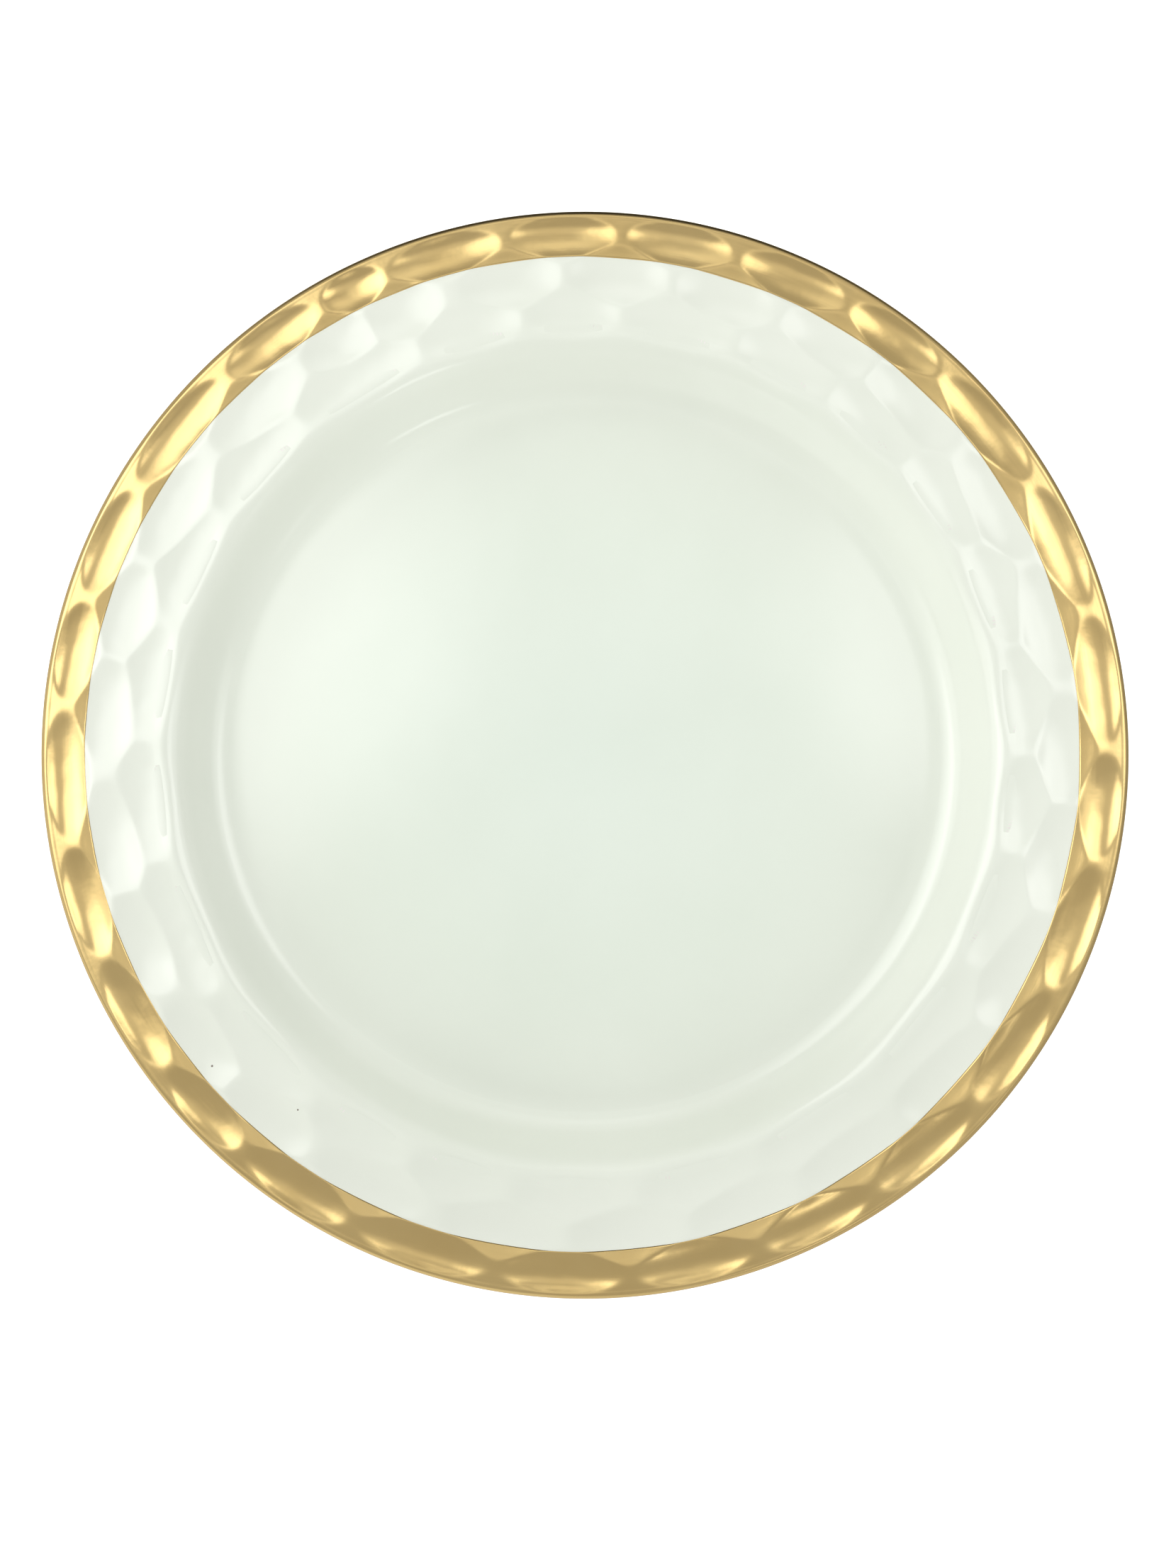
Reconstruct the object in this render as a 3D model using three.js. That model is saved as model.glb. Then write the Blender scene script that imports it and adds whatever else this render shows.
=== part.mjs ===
// A china dinner plate: a porcelain body with its foot ring, three coats of glaze, and a fired gold band on
// the rim. Three staggered rows of shallow scoops are cut into the face of the rim.
// Millimetres. +Z is up out of the well, and the origin is the centre of the plane the foot ring stands on.
import * as THREE from "three";

// Driving dimensions
const PLATE_RADIUS = 140;
const PLATE_HEIGHT = 22;
const GOLD_THICKNESS = 0.15;
const GLAZE_THICKNESS = 0.3;
const WELL_FLOOR_Z = 7;
const WELL_FLOOR_RADIUS = 92;
const SHOULDER_RADIUS = 109;
const SHOULDER_Z = 18.2;
const LIP_ROUND = 1.5;
const LIP_THICKNESS = 3.1;
const BODY_THICKNESS = 3.8;
const FOOT_OUTER_RADIUS = 88.6;
const FOOT_INNER_RADIUS = 84;
const FOOT_FLAT_OUTER = 87.4;
const FOOT_FLAT_INNER = 85.2;
const BARE_FOOT_Z = 0.9;
const UNDERSIDE_Z = 2.9;

// The gold band's inner edge is a circle a little off the plate's own centre, as a hand-banded line is.
const GOLD_INNER_RADIUS = 128.3;
const GOLD_OFF_CENTRE_X = -0.64;
const GOLD_OFF_CENTRE_Y = 0.29;

// The angles, in degrees, where each scoop of a row ends and the next begins. The cuts are made by hand, so
// their lengths differ. The middle row is staggered: each of its scoops is centred where two outer ones meet.
const OUTER_ROW_ENDS = [
  0.5, 16, 31.5, 47, 59.5, 73, 86, 99, 112.5, 120.5, 133.5, 149, 162.5,
  174.5, 190, 203, 217, 229, 243.5, 260, 275, 289.5, 303.5, 318, 333, 348,
];
const INNER_ROW_ENDS = [
  0, 14.5, 28.5, 42.5, 56, 70, 85, 98, 112, 130.5, 146.5, 162.5,
  178, 194, 213, 232, 246.5, 260, 276.5, 293, 311.5, 331, 347,
];

// Each row: the radius its scoops are centred on, their reach across the rim to either side of that, their
// depth, how long the ellipse is next to the scoop's share of the row, and how square its ends and its outer
// wall are.
const OUTER_ROW = { radius: 133.55, inward: 6, outward: 4.55, depth: 1.4, length: 0.92, ends: 2.3, wall: 2.5 };
const MIDDLE_ROW = { radius: 123.6, inward: 7.2, outward: 8, depth: 1.35, length: 0.95, ends: 2.2, wall: 2.2 };
const INNER_ROW = { radius: 114.2, inward: 6.2, outward: 7, depth: 1.05, length: 1, ends: 2.2, wall: 2.2 };

// The ridge where two cuts meet is eased over by about this much.
const RIDGE_EASE = 0.12;

// Each outer scoop is three facets long, so the whole plate is turned in 78 steps.
const STEPS_PER_SCOOP = 3;

const radians = THREE.MathUtils.degToRad;

// The scoops of a row from the angles its scoops end at: each one's middle and half its length, in degrees.
function scoopsBetween(ends) {
  return ends.map((start, i) => {
    const next = i + 1 < ends.length ? ends[i + 1] : ends[0] + 360;
    return { middle: (start + next) / 2, half: (next - start) / 2 };
  });
}

const outerScoops = scoopsBetween(OUTER_ROW_ENDS);
const innerScoops = scoopsBetween(INNER_ROW_ENDS);

// A middle scoop sits where two outer ones meet, and is as long as they are on average.
const middleScoops = outerScoops.map((scoop, i) => {
  const before = outerScoops[(i + outerScoops.length - 1) % outerScoops.length];
  return { middle: OUTER_ROW_ENDS[i], half: (before.half + scoop.half) / 2 };
});

// The turn from one angle to another, in degrees, between -180 and 180.
function turnBetween(from, to) {
  return THREE.MathUtils.euclideanModulo(to - from + 180, 360) - 180;
}

// How deep each scoop of one row would cut at a point of the rim. Where it does not reach, that is negative.
function rowCuts(row, scoops, radius, angle) {
  const offCentre = radius - row.radius;
  const across =
    offCentre < 0 ? (offCentre / row.inward) ** 2 : (offCentre / row.outward) ** row.wall;
  return scoops.map((scoop) => {
    const along = Math.abs(turnBetween(scoop.middle, angle)) / (scoop.half * row.length);
    return row.depth * (1 - along ** row.ends - across);
  });
}

// How far the face of the rim is cut down at a point: the deepest cut there, with its ridges eased over.
function scoopDepth(radius, angle) {
  const cuts = [
    ...rowCuts(OUTER_ROW, outerScoops, radius, angle),
    ...rowCuts(MIDDLE_ROW, middleScoops, radius, angle),
    ...rowCuts(INNER_ROW, innerScoops, radius, angle),
  ];
  return RIDGE_EASE * Math.log(cuts.reduce((sum, cut) => sum + Math.exp(cut / RIDGE_EASE), 1));
}

// The angles the plate is turned in, in radians: every outer scoop has the same number of steps.
const TURN = outerScoops.flatMap((scoop) => {
  const steps = [];
  for (let k = 0; k < STEPS_PER_SCOOP; k++) {
    steps.push(radians(scoop.middle - scoop.half + (2 * scoop.half * k) / STEPS_PER_SCOOP));
  }
  return steps;
});
TURN.push(TURN[0] + 2 * Math.PI);

// The glazed face from the middle of the well to the outside of the lip. Points on the rim are marked, so
// that the scoops are cut there, and the one at the gold's inner edge follows that edge's own circle.
const lipTopZ = PLATE_HEIGHT - GOLD_THICKNESS;
const lipOuterRadius = PLATE_RADIUS - GOLD_THICKNESS;
const lipTopRadius = lipOuterRadius - LIP_ROUND;
const rimSlope = (lipTopZ - SHOULDER_Z) / (lipTopRadius - SHOULDER_RADIUS);
const rimZ = (radius) => SHOULDER_Z + rimSlope * (radius - SHOULDER_RADIUS);
const rimPoint = (radius) => ({ r: radius, z: rimZ(radius), rim: true });

const facePath = [
  { r: 0, z: WELL_FLOOR_Z },
  { r: WELL_FLOOR_RADIUS, z: WELL_FLOOR_Z },
  { r: 96, z: 7.65 },
  { r: 99.4, z: 9.65 },
  { r: 102.6, z: 12.8 },
  { r: 105.7, z: 16.1 },
  rimPoint(SHOULDER_RADIUS),
  rimPoint(112),
  rimPoint(115),
  rimPoint(118),
  rimPoint(121),
  rimPoint(124.5),
  { ...rimPoint(GOLD_INNER_RADIUS), goldEdge: true },
  rimPoint(131),
  rimPoint(133.7),
  rimPoint(136.4),
  { r: lipTopRadius, z: lipTopZ },
  { r: lipTopRadius + 0.72 * LIP_ROUND, z: lipTopZ - 0.3 * LIP_ROUND },
  { r: lipOuterRadius, z: lipTopZ - LIP_ROUND },
];
const goldStart = facePath.findIndex((point) => point.goldEdge);

// The glazed back from the outside of the lip to the glaze line on the foot ring.
const backPath = [
  { r: lipOuterRadius, z: lipTopZ - LIP_ROUND },
  { r: lipOuterRadius - 0.35, z: lipTopZ - 2.5 },
  { r: lipTopRadius, z: lipTopZ - LIP_THICKNESS },
  { r: 129, z: rimZ(129) - BODY_THICKNESS },
  { r: 111, z: rimZ(111) - BODY_THICKNESS - 0.4 },
  { r: 105.3, z: 10.1 },
  { r: 99.4, z: 4.95 },
  { r: 94, z: 3.35 },
  { r: FOOT_OUTER_RADIUS + 1.4, z: UNDERSIDE_Z },
  { r: FOOT_OUTER_RADIUS, z: BARE_FOOT_Z },
];

// The glazed underside inside the foot ring, from the glaze line to the middle.
const undersidePath = [
  { r: FOOT_INNER_RADIUS, z: BARE_FOOT_Z },
  { r: FOOT_INNER_RADIUS - 0.7, z: UNDERSIDE_Z - 0.6 },
  { r: FOOT_INNER_RADIUS - 2.2, z: UNDERSIDE_Z },
  { r: 0, z: UNDERSIDE_Z },
];

// The same path moved sideways by a distance: to its left as it runs if that is positive. Its two ends move
// along the directions given, so that neighbouring coats end on one surface.
function offsetPath(path, distance, firstDirection, lastDirection) {
  return path.map((point, i) => {
    let direction;
    if (i === 0) {
      direction = firstDirection;
    } else if (i === path.length - 1) {
      direction = lastDirection;
    } else {
      const before = path[i - 1];
      const after = path[i + 1];
      const a = new THREE.Vector2(before.z - point.z, point.r - before.r).normalize();
      const b = new THREE.Vector2(point.z - after.z, after.r - point.r).normalize();
      direction = a.add(b).normalize();
    }
    return {
      ...point,
      r: point.r + direction.x * distance,
      z: point.z + direction.y * distance,
      cutRadius: point.cutRadius ?? point.r,
    };
  });
}

const UP = new THREE.Vector2(0, 1);
const OUT = new THREE.Vector2(1, 0);
const DOWN = new THREE.Vector2(0, -1);
const IN = new THREE.Vector2(-1, 0);

const faceUnderGlaze = offsetPath(facePath, -GLAZE_THICKNESS, UP, OUT);
const faceOverGold = offsetPath(facePath, GOLD_THICKNESS, UP, OUT).slice(goldStart);
const backUnderGlaze = offsetPath(backPath, -GLAZE_THICKNESS, OUT, OUT);
const undersideUnderGlaze = offsetPath(undersidePath, -GLAZE_THICKNESS, IN, DOWN);

// Turns a closed path into a solid, then cuts the scoops into the points that lie on the rim's face.
function turned(path) {
  const profile = path.map((point) => new THREE.Vector2(point.r, point.z));
  const geometry = new THREE.LatheGeometry(profile, TURN.length - 1);
  const position = geometry.getAttribute("position");
  for (let i = 0; i < TURN.length; i++) {
    const angle = TURN[i % (TURN.length - 1)];
    for (let j = 0; j < path.length; j++) {
      const point = path[j];
      let r = point.r;
      let z = point.z;
      if (point.goldEdge) {
        const shift = GOLD_OFF_CENTRE_X * Math.cos(angle) + GOLD_OFF_CENTRE_Y * Math.sin(angle);
        r += shift;
        z += rimSlope * shift;
      }
      if (point.rim) {
        z -= scoopDepth(point.cutRadius ?? point.r, THREE.MathUtils.radToDeg(angle));
      }
      position.setXYZ(i * path.length + j, r * Math.cos(angle), r * Math.sin(angle), z);
    }
  }
  geometry.setIndex(facets(path, position));
  geometry.computeVertexNormals();
  return geometry;
}

// Splits each four-sided patch along the diagonal that lies lower, which is the one that follows a scoop. The
// choice rests on the patch's corners alone, so two coats that share a surface are split the same way.
function facets(path, position) {
  const rows = path.length;
  const index = [];
  for (let i = 0; i < TURN.length - 1; i++) {
    for (let j = 0; j < rows - 1; j++) {
      const a = i * rows + j;
      const b = a + rows;
      const c = b + 1;
      const d = a + 1;
      const height = (p, q) => position.getZ(p) + position.getZ(q);
      const outwards = path[j].r < path[j + 1].r;
      const first = outwards ? height(a, c) : height(b, d);
      const second = outwards ? height(b, d) : height(a, c);
      const useFirst = first <= second + 2e-3;
      if (useFirst === outwards) {
        index.push(a, b, c, a, c, d);
      } else {
        index.push(a, b, d, c, d, b);
      }
    }
  }
  return index;
}

function piece(name, path, colour, roughness, metalness) {
  const material = new THREE.MeshStandardMaterial({ color: colour, roughness, metalness });
  const mesh = new THREE.Mesh(turned(path), material);
  mesh.name = name;
  return mesh;
}

const backwards = (path) => [...path].reverse();

const footFlat = [
  { r: FOOT_FLAT_OUTER, z: 0 },
  { r: FOOT_FLAT_INNER, z: 0 },
];

const group = new THREE.Group();
group.name = "china_dinner_plate";

// The fired clay body: face, back, foot ring with its bare standing edge, and underside.
group.add(
  piece(
    "porcelain_body",
    backwards([
      ...faceUnderGlaze,
      ...backUnderGlaze.slice(1),
      ...footFlat,
      ...undersideUnderGlaze,
    ]),
    0xf3f1ea,
    0.85,
    0,
  ),
);

// The glaze over the whole face, out to the outside of the lip.
group.add(
  piece("face_glaze", backwards([...facePath, ...backwards(faceUnderGlaze)]), 0xe9f0e4, 0.12, 0),
);

// The glaze over the back, from the lip down to the foot ring.
group.add(
  piece(
    "back_glaze",
    backwards([...backPath, ...backwards(backUnderGlaze), backPath[0]]),
    0xe9f0e4,
    0.12,
    0,
  ),
);

// The glaze inside the foot ring.
group.add(
  piece("foot_well_glaze", [...backwards(undersidePath), ...undersideUnderGlaze], 0xe9f0e4, 0.12, 0),
);

// The gold fired over the glaze, from its inner edge across the outer scoops and over the lip.
const goldUnder = facePath.slice(goldStart);
group.add(
  piece(
    "gold_rim_band",
    backwards([...faceOverGold, ...backwards(goldUnder), faceOverGold[0]]),
    0xd4b068,
    0.3,
    1,
  ),
);

export default group;
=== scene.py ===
import math

import bpy
import numpy as np
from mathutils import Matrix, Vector


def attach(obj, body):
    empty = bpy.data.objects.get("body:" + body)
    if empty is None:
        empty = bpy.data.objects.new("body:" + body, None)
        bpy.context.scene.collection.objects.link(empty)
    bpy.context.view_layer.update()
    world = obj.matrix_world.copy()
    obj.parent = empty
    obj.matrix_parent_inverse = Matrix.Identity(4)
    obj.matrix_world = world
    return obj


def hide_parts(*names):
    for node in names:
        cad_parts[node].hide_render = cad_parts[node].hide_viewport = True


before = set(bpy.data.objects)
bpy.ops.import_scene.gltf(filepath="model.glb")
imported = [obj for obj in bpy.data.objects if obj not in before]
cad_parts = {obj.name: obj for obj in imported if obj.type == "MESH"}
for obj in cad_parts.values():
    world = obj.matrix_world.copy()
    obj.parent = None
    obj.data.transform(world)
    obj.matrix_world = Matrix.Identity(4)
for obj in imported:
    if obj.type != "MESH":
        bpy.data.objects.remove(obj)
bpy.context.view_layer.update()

MM = 0.001

# The plate's dimensions, in millimetres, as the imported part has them.
PLATE_RADIUS = 140.0
PLATE_HEIGHT = 22.0
GOLD = 0.15
GLAZE = 0.3
WELL_Z = 7.0
WELL_RADIUS = 92.0
SHOULDER_RADIUS = 109.0
SHOULDER_Z = 18.2
LIP_ROUND = 1.5
LIP_THICKNESS = 3.1
BODY = 3.8
FOOT_OUTER = 88.6
FOOT_INNER = 84.0
FLAT_OUTER = 87.4
FLAT_INNER = 85.2
BARE_FOOT_Z = 0.9
UNDERSIDE_Z = 2.9
GOLD_EDGE = 128.3
GOLD_SHIFT = (-0.64, 0.29)

# How thick the gold lies on the rim, how far each coat dips under the one above it, and the gap that keeps
# the clay from touching its coats.
GOLD_FILM = 0.06
GOLD_SUNK = 0.06
GLAZE_SUNK = 0.2
GAP = 0.02

# The angles, in degrees, where each hand-cut scoop of a row ends and the next begins.
OUTER_ENDS = [
    0.5, 16, 31.5, 47, 59.5, 73, 86, 99, 112.5, 120.5, 133.5, 149, 162.5,
    174.5, 190, 203, 217, 229, 243.5, 260, 275, 289.5, 303.5, 318, 333, 348,
]
INNER_ENDS = [
    0, 14.5, 28.5, 42.5, 56, 70, 85, 98, 112, 130.5, 146.5, 162.5,
    178, 194, 213, 232, 246.5, 260, 276.5, 293, 311.5, 331, 347,
]

# Each row: centre radius, reach inward and outward across the rim, depth, length as a share of the space
# between its ends, and how square its ends and its outer wall are.
OUTER_ROW = (133.55, 6.0, 4.55, 1.4, 0.92, 2.3, 2.5)
MIDDLE_ROW = (123.6, 7.2, 8.0, 1.35, 0.95, 2.2, 2.2)
INNER_ROW = (114.2, 6.2, 7.0, 1.05, 1.0, 2.2, 2.2)
RIDGE_EASE = 0.12
# Where the scoops begin on the shoulder, over how far they fade in, and from where the inside of each coat
# follows them.
SCOOPS_START = 106.0
SCOOPS_FADE = 1.5
COATS_FOLLOW = 111.0

# The rim's waviness: its height, its number of crossing waves, their seed, and over how far it fades in.
UNEVEN = 0.012
WAVES = 14
WAVES_SEED = 5
WAVES_FADE = 4.0

# How many facets each piece has round the plate.
FACE_STEPS = 840
GOLD_STEPS = 1800
BACK_STEPS = 720
# A ring with a smaller radius than this is a point on the axis.
AT_AXIS = 1e-6

LIP_TOP_Z = PLATE_HEIGHT - GOLD
LIP_OUTER = PLATE_RADIUS - GOLD
LIP_TOP = LIP_OUTER - LIP_ROUND
RIM_SLOPE = (LIP_TOP_Z - SHOULDER_Z) / (LIP_TOP - SHOULDER_RADIUS)


def rim_z(radius):
    """The height of the rim's face between its scoops."""
    return SHOULDER_Z + RIM_SLOPE * (radius - SHOULDER_RADIUS)


def scoops(ends):
    """The middle and half-length of each scoop of a row, in degrees."""
    start = np.array(ends, float)
    end = np.append(start[1:], start[0] + 360.0)
    return (start + end) / 2, (end - start) / 2


OUTER = scoops(OUTER_ENDS)
INNER = scoops(INNER_ENDS)
# A middle scoop sits where two outer ones meet, and is as long as they are on average.
MIDDLE = (np.array(OUTER_ENDS, float), (np.roll(OUTER[1], 1) + OUTER[1]) / 2)
ROWS = ((OUTER_ROW, OUTER), (MIDDLE_ROW, MIDDLE), (INNER_ROW, INNER))


def unevenness(radius, angle):
    """The slight waviness of a rim cut by hand, in mm: a few crossing waves with seeded directions."""
    rng = np.random.default_rng(WAVES_SEED)
    turn = np.radians(angle)[None, :]
    total = np.zeros(radius.shape)
    for _ in range(WAVES):
        round_rim, across_rim = rng.integers(40, 130), rng.uniform(-1.1, 1.1)
        total += np.sin(round_rim * turn + across_rim * radius + rng.uniform(0, 6.28)) / WAVES**0.5
    return UNEVEN * total


def scoop_depth(radius, angle):
    """How far the rim's face is cut down, for a grid of radii in mm: one ring a row, one angle a column.
    It is the deepest cut at each point, with the ridges between cuts eased over, as the glaze does."""
    total = np.ones(radius.shape)
    for (centre, inward, outward, depth, length, ends, wall), (middles, halves) in ROWS:
        off = radius - centre
        across = np.where(off < 0, (off / inward) ** 2, (np.abs(off) / outward) ** wall)
        for middle, half in zip(middles, halves):
            turn = (angle - middle + 180.0) % 360.0 - 180.0
            near = np.abs(turn) < 1.9 * half
            along = np.abs(turn[near]) / (half * length)
            cut = depth * (1.0 - along[None, :] ** ends - across[:, near])
            total[:, near] += np.exp(np.maximum(cut, -6.0) / RIDGE_EASE)
    waviness = unevenness(radius, angle) * np.clip((radius - SHOULDER_RADIUS) / WAVES_FADE, 0, 1)
    return RIDGE_EASE * np.log(total) + waviness


def curve(points, spacing):
    """A smooth line through (radius, height) points, sampled about every spacing mm."""
    points = np.array(points, float)
    gaps = np.linalg.norm(np.diff(points, axis=0), axis=1)
    slope = np.zeros_like(points)
    slope[1:-1] = (points[2:] - points[:-2]) / (gaps[1:] + gaps[:-1])[:, None]
    slope[0] = (points[1] - points[0]) / gaps[0]
    slope[-1] = (points[-1] - points[-2]) / gaps[-1]
    out = [points[:1]]
    for i, gap in enumerate(gaps):
        steps = max(1, int(round(gap / spacing)))
        t = (np.arange(1, steps + 1) / steps)[:, None]
        out.append(
            (2 * t**3 - 3 * t**2 + 1) * points[i]
            + (t**3 - 2 * t**2 + t) * slope[i] * gap
            + (3 * t**2 - 2 * t**3) * points[i + 1]
            + (t**3 - t**2) * slope[i + 1] * gap
        )
    return np.concatenate(out)


def offset(path, distance, last=None):
    """The path moved to its left as it runs, its last point along the direction given."""
    ahead = np.gradient(path, axis=0)
    normal = np.stack([-ahead[:, 1], ahead[:, 0]], 1)
    normal /= np.linalg.norm(normal, axis=1, keepdims=True)
    if last is not None:
        normal[-1] = last
    return path + distance * normal


def thinned(path, every):
    """Every so many points of a path, and always its first and last."""
    return np.concatenate([path[:-1:every], path[-1:]])


def ring_points(rings, steps):
    """The vertices of all rings in mm, and for each ring the numbers of its vertices. A ring at the axis is
    one vertex."""
    angle = np.arange(steps) * 360.0 / steps
    turn = np.radians(angle)
    shift = GOLD_SHIFT[0] * np.cos(turn) + GOLD_SHIFT[1] * np.sin(turn)
    radius = rings[:, 0:1] + rings[:, 3:4] * shift
    height = rings[:, 1:2] + rings[:, 3:4] * shift * RIM_SLOPE
    cut = rings[:, 2] > 0
    if cut.any():
        height[cut] -= scoop_depth(radius[cut], angle) * rings[cut, 2:3]
    points, index, count = [], np.zeros((len(rings), steps), int), 0
    for j, (ring_radius, ring_height, _, _) in enumerate(rings):
        if ring_radius < AT_AXIS:
            points.append(np.array([[0.0, 0.0, ring_height]]))
            index[j] = count
            count += 1
        else:
            points.append(np.stack([radius[j] * np.cos(turn), radius[j] * np.sin(turn), height[j]], 1))
            index[j] = count + np.arange(steps)
            count += steps
    return np.concatenate(points), index


def ring_faces(rings, index):
    """The faces between each ring and the next, the last ring joined to the first."""
    pole = rings[:, 0] < AT_AXIS
    faces = []
    for j in range(len(rings)):
        k = (j + 1) % len(rings)
        a, b = index[j], np.roll(index[j], -1)
        d, c = index[k], np.roll(index[k], -1)
        if pole[j] and pole[k]:
            continue
        if pole[j]:
            faces.append(np.stack([a, c, d], 1))
        elif pole[k]:
            faces.append(np.stack([a, b, d], 1))
        else:
            faces.append(np.stack([a, b, c, d], 1))
    return faces


def revolve(name, rings, steps):
    """A closed mesh turned from rings that run round its section, anticlockwise with the radius to the right.
    A ring is (radius, height, scoops cut here or not, how much it follows the gold edge's own centre)."""
    rings = np.array(rings, float)
    points, index = ring_points(rings, steps)
    faces = ring_faces(rings, index)
    loops = np.concatenate([f.ravel() for f in faces])
    sizes = np.concatenate([np.full(len(f), f.shape[1]) for f in faces])
    mesh = bpy.data.meshes.new(name)
    mesh.vertices.add(len(points))
    mesh.vertices.foreach_set("co", (points * MM).astype(np.float32).ravel())
    mesh.loops.add(len(loops))
    mesh.loops.foreach_set("vertex_index", loops.astype(np.int32))
    mesh.polygons.add(len(sizes))
    mesh.polygons.foreach_set("loop_start", np.append(0, np.cumsum(sizes)[:-1]).astype(np.int32))
    mesh.polygons.foreach_set("loop_total", sizes.astype(np.int32))
    mesh.polygons.foreach_set("use_smooth", np.ones(len(sizes), bool))
    mesh.update(calc_edges=True)
    obj = bpy.data.objects.new(name, mesh)
    bpy.context.scene.collection.objects.link(obj)
    return obj


def ring_rows(path, cut=0.0, follow=0.0):
    """Rings for revolve() from a path, all with the same cut and follow unless those are lists."""
    path = np.asarray(path, float)
    columns = [np.broadcast_to(np.asarray(x, float), (len(path),)) for x in (cut, follow)]
    return np.column_stack([path, *columns])


def rim_path(start, end, spacing):
    """Points along the rim's face between two radii."""
    radii = np.linspace(start, end, int(round((end - start) / spacing)) + 1)
    return np.stack([radii, rim_z(radii)], 1)


def under_scoops(path):
    """1 where the inside of a coat follows the scoops, and 0 elsewhere."""
    return np.where((path[:, 0] > COATS_FOLLOW) & (path[:, 0] < LIP_TOP), 1.0, 0.0)


# ---- the sections -------------------------------------------------------------------------------------
lip_turn = np.radians(np.arange(0, 91, 9))
LIP_OUTWARD = np.stack([np.sin(lip_turn), np.cos(lip_turn)], 1)
LIP_ARC = LIP_OUTWARD * LIP_ROUND + [LIP_TOP, LIP_TOP_Z - LIP_ROUND]

WALL = curve([
    (86, WELL_Z), (89, WELL_Z), (WELL_RADIUS, WELL_Z + 0.02), (96, 7.65), (99.4, 9.65), (102.6, 12.8),
    (105.7, 16.1), (SHOULDER_RADIUS, SHOULDER_Z), (111.5, rim_z(111.5)), (114, rim_z(114)),
], 1.1)
WALL = WALL[WALL[:, 0] < 111.6]
FLAT = np.array([(r, WELL_Z) for r in (0.0, 3, 12, 26, 42, 58, 72, 81)])

# The face glaze: the well, the wall and the scooped rim. Under the gold it lies a little lower. Its rings
# turn slowly from the plate's own centre to the centre of the gold's edge.
FOLLOW_START = 120.0
white_rim = rim_path(112, GOLD_EDGE + 1.2, 0.5)
under_gold = rim_path(GOLD_EDGE + 1.9, LIP_TOP, 0.7)
face_top = np.concatenate([
    ring_rows(FLAT),
    ring_rows(WALL, np.clip((WALL[:, 0] - SCOOPS_START) / SCOOPS_FADE, 0, 1)),
    ring_rows(white_rim, 1.0, np.clip((white_rim[:, 0] - FOLLOW_START) / (GOLD_EDGE - FOLLOW_START), 0, 1)),
    ring_rows(under_gold - [0, GLAZE_SUNK], 1.0),
    ring_rows(LIP_ARC[1:] - [0.1, 0.1]),
])
face_line = np.concatenate([FLAT, WALL, white_rim, under_gold, LIP_ARC[1:]])
face_under = thinned(offset(face_line, -GLAZE, last=(1.0, 0.0)), 5)
face_under[0] = (0.0, WELL_Z - GLAZE)
face_under = ring_rows(face_under, under_scoops(face_under))
face_glaze = revolve("face_glaze_fine", np.concatenate([face_under, face_top[::-1]]), FACE_STEPS)

# The gold: over the outer scoops and round the lip to its outermost line. Only near its inner edge does it
# follow that edge's own centre.
FOLLOW_END = LIP_TOP - 2
gold_flat = rim_path(GOLD_EDGE, LIP_TOP, 0.4)[:-1]
gold_follow = np.clip((FOLLOW_END - gold_flat[:, 0]) / (FOLLOW_END - GOLD_EDGE), 0, 1)
gold_top = np.concatenate([
    ring_rows(gold_flat + [0, GOLD_FILM], 1.0, gold_follow),
    ring_rows(LIP_ARC + LIP_OUTWARD * GOLD),
])
gold_under = np.concatenate([
    ring_rows(gold_flat[::2] - [0, GOLD_SUNK], 1.0, gold_follow[::2]),
    ring_rows(LIP_ARC[::2] - [0.05, 0.05]),
])
gold_band = revolve("gold_rim_band_fine", np.concatenate([gold_under, gold_top[::-1]]), GOLD_STEPS)

# The back glaze, from the lip to the glaze line on the foot ring.
back_line = curve([
    (LIP_OUTER, LIP_TOP_Z - LIP_ROUND), (LIP_OUTER - 0.35, LIP_TOP_Z - 2.5),
    (LIP_TOP, LIP_TOP_Z - LIP_THICKNESS), (135, rim_z(135) - LIP_THICKNESS - 0.35),
    (129, rim_z(129) - BODY), (120, rim_z(120) - BODY), (111, rim_z(111) - BODY - 0.4),
    (108, 12.6), (105.3, 10.1), (102.4, 7.2), (99.4, 4.95), (94, 3.35),
    (FOOT_OUTER + 1.4, UNDERSIDE_Z - 0.2), (FOOT_OUTER, BARE_FOOT_Z),
], 0.9)
back_inner = thinned(offset(back_line, -GLAZE, last=(-1.0, 0.0)), 4)
back_inner[0] = (LIP_OUTER - GLAZE, LIP_TOP_Z - LIP_ROUND)
back_glaze = revolve(
    "back_glaze_fine", np.concatenate([ring_rows(back_line)[::-1], ring_rows(back_inner)]), BACK_STEPS
)

# The glaze inside the foot ring.
foot_inside = curve([
    (FOOT_INNER, BARE_FOOT_Z), (FOOT_INNER - 0.5, 1.9), (FOOT_INNER - 1.6, 2.7),
    (FOOT_INNER - 4, UNDERSIDE_Z), (FOOT_INNER - 12, UNDERSIDE_Z),
], 0.5)
underside_line = np.concatenate([
    foot_inside[foot_inside[:, 0] > 76],
    [(r, UNDERSIDE_Z) for r in (70, 58, 44, 30, 17, 6, 0.0)],
])
underside_top = [
    (0.0, UNDERSIDE_Z + GLAZE), (40, UNDERSIDE_Z + GLAZE), (79, UNDERSIDE_Z + GLAZE),
    (FOOT_INNER - 1.2, 2.75), (FOOT_INNER + GLAZE, BARE_FOOT_Z),
]
foot_well_glaze = revolve(
    "foot_well_glaze_fine",
    np.concatenate([ring_rows(underside_line)[::-1], ring_rows(underside_top)[::-1]]),
    BACK_STEPS,
)

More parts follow.
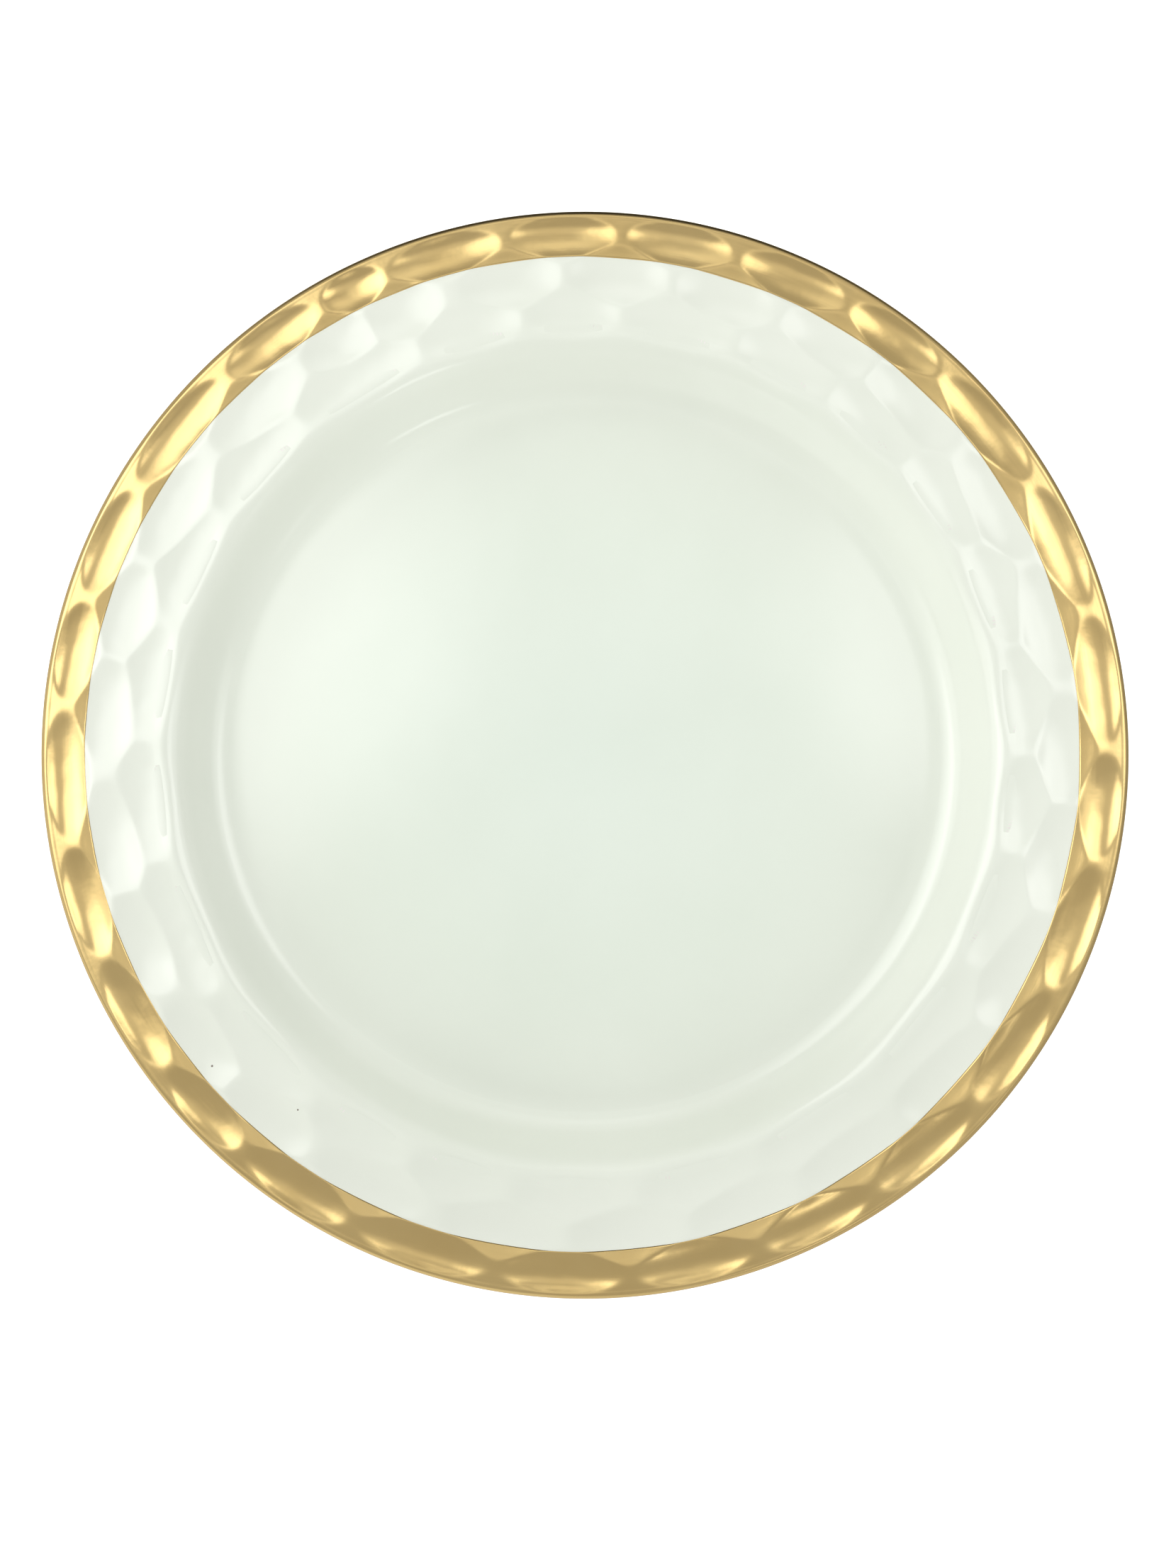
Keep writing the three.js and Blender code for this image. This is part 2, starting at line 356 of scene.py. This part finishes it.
# The clay body: only its standing edge is bare, the rest lies under the coats.
body_face = thinned(offset(face_line, -GLAZE - GAP, last=(1.0, 0.0)), 5)
body_face[0] = (0.0, WELL_Z - GLAZE - GAP)
body_back = thinned(offset(back_line, -GLAZE - GAP, last=(-1.0, 0.0)), 4)
foot_edge = curve([
    (FOOT_OUTER - GLAZE, BARE_FOOT_Z), (FOOT_OUTER - GLAZE - 0.15, 0.5), (FLAT_OUTER + 0.35, 0.12),
    (FLAT_OUTER - 0.1, 0.0), (FLAT_OUTER - 0.8, 0.0), (FLAT_INNER + 0.8, 0.0), (FLAT_INNER + 0.1, 0.0),
    (FLAT_INNER - 0.35, 0.12), (FOOT_INNER + GLAZE + 0.15, 0.5), (FOOT_INNER + GLAZE, BARE_FOOT_Z),
], 0.2)
foot_edge[:, 1] = np.maximum(foot_edge[:, 1], 0.0)
body_floor = [(FOOT_INNER - 0.9, 3.0), (79, UNDERSIDE_Z + GLAZE + GAP), (0.0, UNDERSIDE_Z + GLAZE + GAP)]
body_rows = np.concatenate([
    ring_rows(body_face, under_scoops(body_face)),
    ring_rows(body_back[1:-1]),
    ring_rows(foot_edge),
    ring_rows(body_floor),
])
porcelain_body = revolve("porcelain_body_fine", body_rows[::-1], BACK_STEPS)


# ---- materials ----------------------------------------------------------------------------------------
# The iron specks burnt through the glaze on the rim: x, y and size in millimetres.
SPECKS = ((-96.4, -80.3, 0.55), (-74.3, -91.7, 0.45))
SPECK_COLOUR = (0.16, 0.12, 0.09)


def new_material(name):
    """A material with its node tree and its main shader."""
    material = bpy.data.materials.new(name)
    material.use_nodes = True
    tree = material.node_tree
    return material, tree, tree.nodes["Principled BSDF"]


def add(tree, kind, **values):
    """A node with its properties set by name and its inputs by input_NAME."""
    node = tree.nodes.new(kind)
    for key, value in values.items():
        if key.startswith("input_"):
            node.inputs[key[6:].replace("_", " ")].default_value = value
        else:
            setattr(node, key, value)
    return node


def noise(tree, vector, scale, detail=3.0, rough=0.5):
    """Cloudy noise from 0 to 1, with about scale clouds to a metre."""
    node = add(tree, "ShaderNodeTexNoise", input_Scale=scale, input_Detail=detail, input_Roughness=rough)
    tree.links.new(vector, node.inputs["Vector"])
    return node.outputs["Fac"]


def ramp(tree, value, *stops):
    """A value mapped through (position, colour) stops."""
    node = tree.nodes.new("ShaderNodeValToRGB")
    elements = node.color_ramp.elements
    while len(elements) < len(stops):
        elements.new(0.5)
    for element, (position, colour) in zip(elements, stops):
        element.position = position
        element.color = (*colour, 1.0) if hasattr(colour, "__len__") else (colour, colour, colour, 1.0)
    tree.links.new(value, node.inputs["Fac"])
    return node.outputs["Color"]


def bump(tree, height, distance, normal=None):
    """A relief that is distance deep where height goes from 0 to 1, laid over another one if that is given."""
    node = add(tree, "ShaderNodeBump", input_Strength=1.0, input_Distance=distance)
    tree.links.new(height, node.inputs["Height"])
    if normal is not None:
        tree.links.new(normal, node.inputs["Normal"])
    return node.outputs["Normal"]


def distance_from_axis(tree, where):
    """The distance of a place from the plate's axis, and the place itself seen from above."""
    flat = add(tree, "ShaderNodeVectorMath", operation="MULTIPLY")
    flat.inputs[1].default_value = (1.0, 1.0, 0.0)
    tree.links.new(where, flat.inputs[0])
    length = add(tree, "ShaderNodeVectorMath", operation="LENGTH")
    tree.links.new(flat.outputs["Vector"], length.inputs[0])
    return length.outputs["Value"], flat.outputs["Vector"]


def mixed(tree, factor, a, b, blend="MIX"):
    """Colour a turning into b by a factor. Factor and colours are sockets or plain values."""
    node = add(tree, "ShaderNodeMix", data_type="RGBA", blend_type=blend)
    if hasattr(factor, "is_output"):
        tree.links.new(factor, node.inputs["Factor"])
    else:
        node.inputs["Factor"].default_value = factor
    for name, value in (("A", a), ("B", b)):
        socket = next(i for i in node.inputs if i.name == name and i.type == "RGBA")
        if hasattr(value, "is_output"):
            tree.links.new(value, socket)
        else:
            socket.default_value = (*value, 1.0)
    return next(o for o in node.outputs if o.type == "RGBA")


def glaze_material(name, specks):
    """White china glaze: glossy, very slightly wavy, with painted shade that makes it darker and greener
    towards the middle of the well, with faint clouds of tone and a few iron specks."""
    material, tree, shader = new_material(name)
    where = tree.nodes.new("ShaderNodeTexCoord").outputs["Object"]
    radius, plan = distance_from_axis(tree, where)
    # Painted shade: the base colour turns darker and greener towards the plate's axis. It stands in for the
    # fall of the light, not for the glaze's own colour.
    painted_centre_shade = ramp(
        tree, radius,
        (0.0, (0.800, 0.882, 0.780)), (0.060, (0.816, 0.886, 0.774)), (0.100, (0.842, 0.886, 0.778)),
        (0.130, (0.858, 0.890, 0.790)),
    )
    clouds = ramp(tree, noise(tree, where, 22.0, 3.0), (0.35, (0.972, 0.975, 0.970)), (0.65, (1.0, 1.0, 1.0)))
    colour = mixed(tree, 1.0, painted_centre_shade, clouds, "MULTIPLY")
    for x, y, size in specks:
        away = add(tree, "ShaderNodeVectorMath", operation="DISTANCE")
        away.inputs[1].default_value = (x * MM, y * MM, 0.0)
        tree.links.new(plan, away.inputs[0])
        dot = add(
            tree, "ShaderNodeMapRange", interpolation_type="SMOOTHSTEP",
            input_From_Min=0.65 * size * MM, input_From_Max=0.35 * size * MM,
        )
        tree.links.new(away.outputs["Value"], dot.inputs["Value"])
        colour = mixed(tree, dot.outputs["Result"], colour, SPECK_COLOUR)
    tree.links.new(colour, shader.inputs["Base Color"])
    gloss = ramp(tree, noise(tree, where, 180.0, 2.0), (0.3, 0.085), (0.7, 0.125))
    tree.links.new(gloss, shader.inputs["Roughness"])
    shader.inputs["IOR"].default_value = 1.6
    shader.inputs["Specular IOR Level"].default_value = 0.75
    waves = bump(tree, noise(tree, where, 48.0, 2.0), 0.06 * MM)
    pores = bump(tree, noise(tree, where, 900.0, 2.0), 0.004 * MM, normal=waves)
    tree.links.new(pores, shader.inputs["Normal"])
    return material


def brush_streaks(tree, where):
    """Noise drawn out along the rim: 9 units to a radian round it, and 2.4 to a millimetre across it."""
    radius, plan = distance_from_axis(tree, where)
    outward = add(tree, "ShaderNodeVectorMath", operation="NORMALIZE")
    tree.links.new(plan, outward.inputs[0])
    along = add(tree, "ShaderNodeVectorMath", operation="SCALE", input_Scale=9.0)
    tree.links.new(outward.outputs["Vector"], along.inputs[0])
    across = add(tree, "ShaderNodeMath", operation="MULTIPLY")
    across.inputs[1].default_value = 2.4 / MM
    tree.links.new(radius, across.inputs[0])
    upward = tree.nodes.new("ShaderNodeCombineXYZ")
    tree.links.new(across.outputs["Value"], upward.inputs["Z"])
    brush = add(tree, "ShaderNodeVectorMath", operation="ADD")
    tree.links.new(along.outputs["Vector"], brush.inputs[0])
    tree.links.new(upward.outputs["Vector"], brush.inputs[1])
    return noise(tree, brush.outputs["Vector"], 1.0, 3.0, 0.6)


def gold_material():
    """Satin fired gold: fine streaks round the rim from the banding brush, and rubbed patches."""
    material, tree, shader = new_material("fired_gold")
    where = tree.nodes.new("ShaderNodeTexCoord").outputs["Object"]
    streaks = brush_streaks(tree, where)
    clouds = noise(tree, where, 60.0, 4.0)
    colour = ramp(tree, clouds, (0.3, (0.86, 0.625, 0.262)), (0.7, (0.90, 0.665, 0.290)))
    tree.links.new(colour, shader.inputs["Base Color"])
    shader.inputs["Metallic"].default_value = 1.0
    satin = ramp(tree, streaks, (0.25, 0.17), (0.75, 0.25))
    tree.links.new(satin, shader.inputs["Roughness"])
    ripples = bump(tree, noise(tree, where, 240.0, 2.0), 0.04 * MM)
    grain = bump(tree, noise(tree, where, 2600.0, 2.0), 0.0035 * MM, normal=ripples)
    lines = bump(tree, streaks, 0.006 * MM, normal=grain)
    tree.links.new(lines, shader.inputs["Normal"])
    return material


def bisque_material():
    """Bare fired clay: matt, finely grained, greyed where it has stood and slid on shelves."""
    material, tree, shader = new_material("bare_clay")
    where = tree.nodes.new("ShaderNodeTexCoord").outputs["Object"]
    wear = ramp(
        tree, noise(tree, where, 95.0, 5.0, 0.65),
        (0.35, (0.70, 0.675, 0.62)), (0.55, (0.83, 0.81, 0.755)), (0.75, (0.86, 0.845, 0.80)),
    )
    tree.links.new(wear, shader.inputs["Base Color"])
    rough = ramp(tree, noise(tree, where, 700.0, 2.0), (0.3, 0.72), (0.7, 0.92))
    tree.links.new(rough, shader.inputs["Roughness"])
    tree.links.new(bump(tree, noise(tree, where, 1800.0, 3.0), 0.02 * MM), shader.inputs["Normal"])
    return material


white_glaze = glaze_material("china_glaze_face", SPECKS)
back_white = glaze_material("china_glaze_back", ())
gold = gold_material()
bisque = bisque_material()

for piece, node, material, slot in (
    (porcelain_body, "porcelain_body", bisque, "bisque"),
    (face_glaze, "face_glaze", white_glaze, "glaze"),
    (back_glaze, "back_glaze", back_white, "glaze"),
    (foot_well_glaze, "foot_well_glaze", back_white, "glaze"),
    (gold_band, "gold_rim_band", gold, "gold"),
):
    piece.data.materials.append(material)
    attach(piece, "root")
    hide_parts(node)

# ---- the studio, in metres ----------------------------------------------------------------------------
FLOOR_HALF = 3.0

# A diffuser panel hangs over the plate. It glows faintly all over and strongly in a few soft patches.
PANEL_Z = 0.42
PANEL_HALF_X = 0.85
PANEL_HALF_Y = 0.70
PANEL_GLOW = 0.45
# Each patch: middle x and y, half-size x and y, softness of its edge as a share of that, and brightness.
PATCHES = (
    (-0.260, 0.110, 0.180, 0.170, 0.30, 1.35),
    (-0.470, 0.050, 0.230, 0.240, 0.35, 0.80),
    (0.250, 0.085, 0.125, 0.115, 0.35, 1.30),
    (0.420, 0.070, 0.160, 0.170, 0.40, 0.70),
    (0.020, 0.030, 0.200, 0.100, 0.80, 0.22),
    (0.170, -0.360, 0.050, 0.050, 0.60, 1.40),
    (0.330, -0.260, 0.040, 0.060, 0.60, 0.60),
    (-0.010, 0.300, 0.120, 0.090, 0.70, 0.50),
)


def sheet(name, half_x, half_y, facing):
    """A level rectangle about the axis, facing up (1) or down (-1)."""
    corners = [(-half_x, -half_y, 0), (half_x, -half_y, 0), (half_x, half_y, 0), (-half_x, half_y, 0)]
    mesh = bpy.data.meshes.new(name)
    mesh.from_pydata(corners, [], [(0, 1, 2, 3)[::facing]])
    obj = bpy.data.objects.new(name, mesh)
    bpy.context.scene.collection.objects.link(obj)
    return obj


def pale_floor():
    """White paper that glows a little, so that the shadows on it stay pale."""
    floor = sheet("floor", FLOOR_HALF, FLOOR_HALF, 1)
    material, _, shader = new_material("pale_paper")
    shader.inputs["Base Color"].default_value = (0.9, 0.9, 0.9, 1.0)
    shader.inputs["Roughness"].default_value = 0.9
    shader.inputs["Specular IOR Level"].default_value = 0.1
    shader.inputs["Emission Color"].default_value = (1.0, 1.0, 1.0, 1.0)
    shader.inputs["Emission Strength"].default_value = 0.55
    floor.data.materials.append(material)
    floor.visible_glossy = False


def light_panel():
    """The panel over the plate, with its patches. The camera looks through it."""
    panel = sheet("diffuser", PANEL_HALF_X, PANEL_HALF_Y, -1)
    panel.location = (0, 0, PANEL_Z)
    panel.visible_camera = False
    material, tree, shader = new_material("diffuser_glow")
    tree.nodes.remove(shader)
    where = tree.nodes.new("ShaderNodeTexCoord").outputs["Object"]
    total = None
    for x, y, half_x, half_y, soft, bright in PATCHES:
        place = add(
            tree, "ShaderNodeMapping",
            input_Location=(-x / half_x, -y / half_y, 0), input_Scale=(1 / half_x, 1 / half_y, 0),
        )
        tree.links.new(where, place.inputs["Vector"])
        reach = add(tree, "ShaderNodeVectorMath", operation="LENGTH")
        tree.links.new(place.outputs["Vector"], reach.inputs[0])
        fade = add(
            tree, "ShaderNodeMapRange", interpolation_type="SMOOTHSTEP",
            input_From_Min=1 + soft, input_From_Max=1 - soft, input_To_Min=0.0, input_To_Max=bright,
        )
        tree.links.new(reach.outputs["Value"], fade.inputs["Value"])
        summed = add(tree, "ShaderNodeMath", operation="ADD")
        tree.links.new(fade.outputs["Result"], summed.inputs[0])
        if total is None:
            summed.inputs[1].default_value = PANEL_GLOW
        else:
            tree.links.new(total, summed.inputs[1])
        total = summed.outputs["Value"]
    glow = tree.nodes.new("ShaderNodeEmission")
    tree.links.new(total, glow.inputs["Strength"])
    tree.links.new(glow.outputs["Emission"], tree.nodes["Material Output"].inputs["Surface"])
    panel.data.materials.append(material)


def area_light(name, size_x, size_y, radiance):
    """A soft light that faces down. It lights the plate but leaves no reflection of itself."""
    data = bpy.data.lights.new(name, "AREA")
    data.shape = "RECTANGLE"
    data.size = size_x
    data.size_y = size_y
    data.energy = radiance * math.pi * size_x * size_y
    light = bpy.data.objects.new(name, data)
    light.visible_camera = False
    light.visible_glossy = False
    bpy.context.scene.collection.objects.link(light)
    return light


def side_light(name, azimuth, elevation, radiance):
    """A square light 1.6 m from the plate and turned to it, at angles in degrees."""
    light = area_light(name, 0.9, 0.9, radiance)
    a, e = math.radians(azimuth), math.radians(elevation)
    way = Vector((math.cos(e) * math.cos(a), math.cos(e) * math.sin(a), math.sin(e)))
    light.location = way * 1.6
    light.rotation_euler = way.to_track_quat("Z", "Y").to_euler()


def studio_world():
    """A pale room: dark at the far side, and brighter at the near side and to the left."""
    world = bpy.data.worlds.new("studio")
    bpy.context.scene.world = world
    world.use_nodes = True
    tree = world.node_tree
    way = tree.nodes.new("ShaderNodeTexCoord").outputs["Generated"]
    parts = tree.nodes.new("ShaderNodeSeparateXYZ")
    tree.links.new(way, parts.inputs["Vector"])
    depth = add(tree, "ShaderNodeMapRange", input_From_Min=-1.0)
    tree.links.new(parts.outputs["Y"], depth.inputs["Value"])
    glow = ramp(
        tree, depth.outputs["Result"],
        (0.0, 0.70), (0.30, 0.55), (0.60, 0.45), (0.84, 0.38), (0.93, 0.09), (1.0, 0.03),
    )
    dim = add(tree, "ShaderNodeMapRange", input_From_Min=-1.0, input_To_Min=1.35, input_To_Max=0.65)
    tree.links.new(parts.outputs["X"], dim.inputs["Value"])
    background = tree.nodes["Background"]
    tree.links.new(glow, background.inputs["Color"])
    tree.links.new(dim.outputs["Result"], background.inputs["Strength"])


pale_floor()
light_panel()
area_light("overhead_fill", 1.3, 1.1, 0.06).location = (0, 0, PANEL_Z - 0.005)
side_light("key_fill", 135, 24, 7.0)
side_light("right_fill", 10, 24, 4.4)
side_light("left_fill", 240, 23, 3.6)
studio_world()

# The camera looks straight down from above the plate, a little to the near side of its middle. The plate's
# radius takes up this share of the picture's height, which is also the sensor's longer side.
CAMERA_ABOVE_LIP = 0.380
RADIUS_IN_VIEW = 0.34797
camera_data = bpy.data.cameras.new("camera")
camera_data.sensor_width = 36.0
camera_data.lens = camera_data.sensor_width * RADIUS_IN_VIEW * CAMERA_ABOVE_LIP / (PLATE_RADIUS * MM)
camera_data.clip_start = 0.01
camera = bpy.data.objects.new("camera", camera_data)
camera.location = (0.00077, -0.0074, PLATE_HEIGHT * MM + CAMERA_ABOVE_LIP)
bpy.context.scene.collection.objects.link(camera)
bpy.context.scene.camera = camera

bpy.context.scene.view_settings.view_transform = "Standard"
